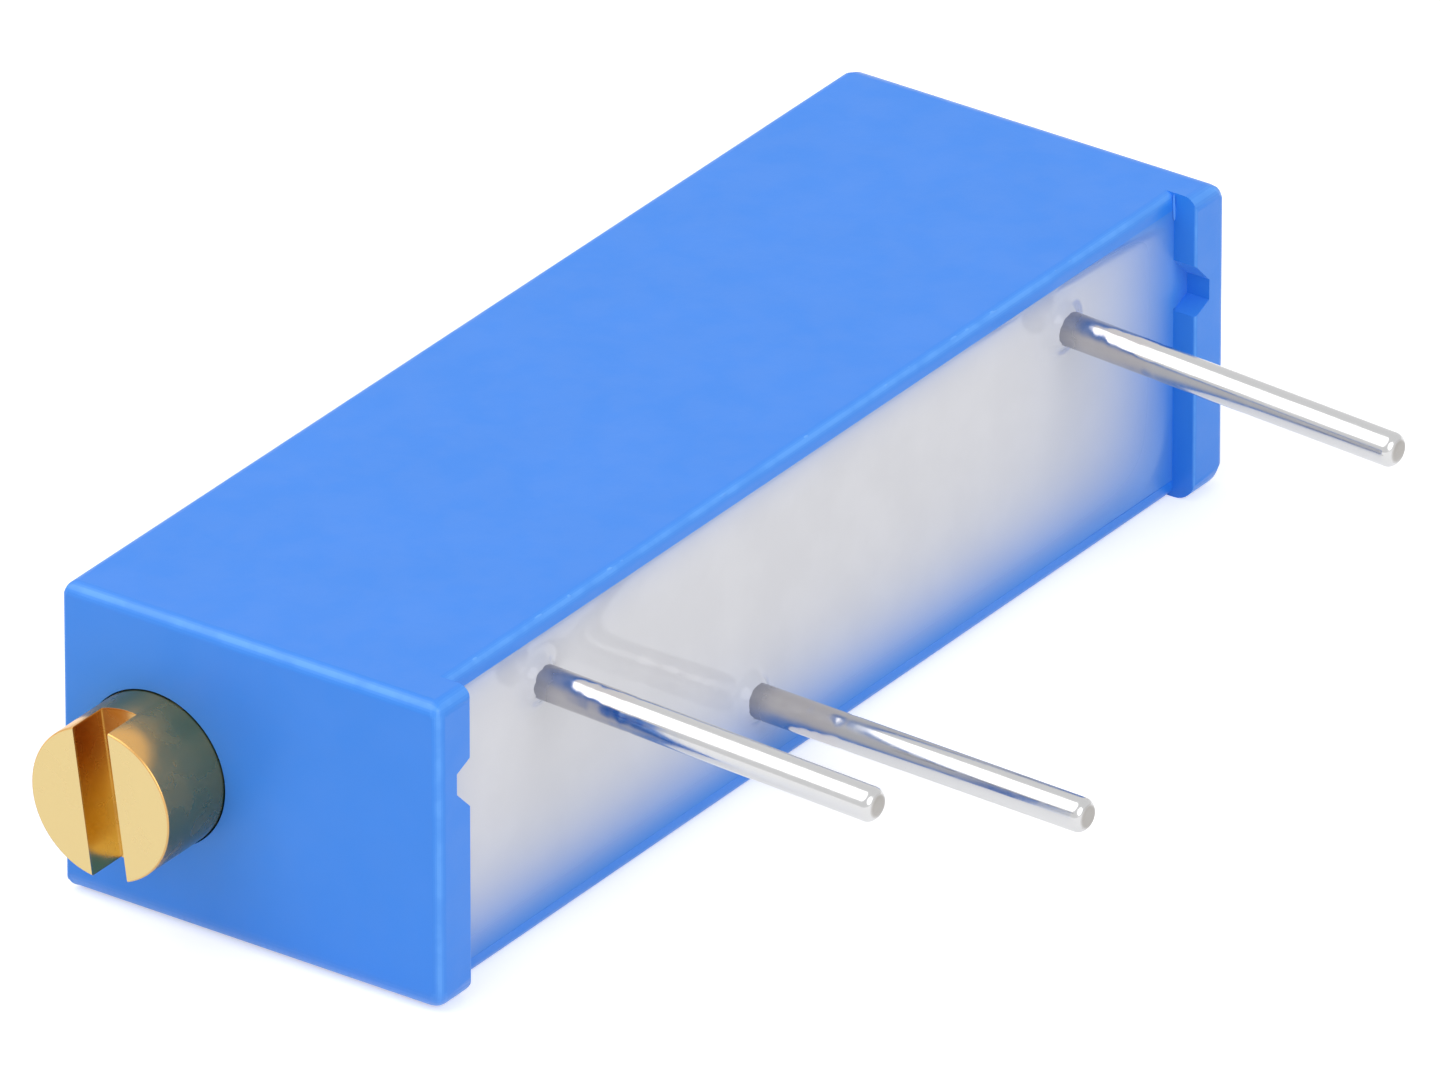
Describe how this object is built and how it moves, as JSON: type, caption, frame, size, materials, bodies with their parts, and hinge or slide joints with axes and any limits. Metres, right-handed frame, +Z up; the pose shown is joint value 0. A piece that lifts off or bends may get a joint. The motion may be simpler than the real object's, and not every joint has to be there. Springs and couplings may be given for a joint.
{
  "type": "trimmer potentiometer",
  "caption": "Rectangular multi-turn trimmer potentiometer with a slotted side adjusting screw and in-line round leads from a resin-sealed base.",
  "frame": {"origin": "centre of the case's lower broad side, on which the part lies", "axes": "+X along the case and the adjusting screw, away from the slotted head; the leads leave towards -Y; +Z up from the broad side that it lies on"},
  "size_m": [0.0203, 0.0115, 0.0048],
  "materials": {
    "case_plastic": "fine satin as moulded",
    "screw_brass": "turned, bright",
    "seal_rubber": "smooth",
    "clip_metal": "as stamped",
    "carriage_plastic": "as moulded",
    "spring_metal": "bright strip",
    "wire_metal": "bright drawn wire",
    "plate_ceramic": "as fired",
    "track_film": "fired film",
    "conductor_film": "fired film",
    "lead_tin": "bright tinned",
    "solder_tin": "reflowed solder",
    "potting_resin": "cast, wet gloss"
  },
  "bodies": {
    "body": {"case": "case_plastic", "retaining_clip": "clip_metal", "element_plate": "plate_ceramic", "resistive_track": "track_film", "collector_track": "conductor_film", "start_pad": "conductor_film", "end_pad": "conductor_film", "start_lead": "lead_tin", "wiper_lead": "lead_tin", "end_lead": "lead_tin", "start_solder": "solder_tin", "wiper_solder": "solder_tin", "end_solder": "solder_tin", "potting": "potting_resin"},
    "screw": {"lead_screw": "screw_brass", "seal_ring": "seal_rubber"},
    "wiper": {"carriage": "carriage_plastic", "leaf_spring": "spring_metal", "track_brush": "wire_metal", "collector_brush": "wire_metal"}
  },
  "joints": [
    {"name": "screw_turn", "type": "hinge", "parent": "body", "child": "screw", "pos_m": [-0.00953, 0.00162, 0.00242], "axis": [1, 0, 0], "range_deg": [-2700, 2700]},
    {"name": "wiper_travel", "type": "slide", "parent": "body", "child": "wiper", "axis": [1, 0, 0], "range_m": [-0.006, 0.006]}
  ],
  "couplings": [
    {"joint": "screw_turn", "follows": "wiper_travel", "rad_per_m": -7854}
  ]
}
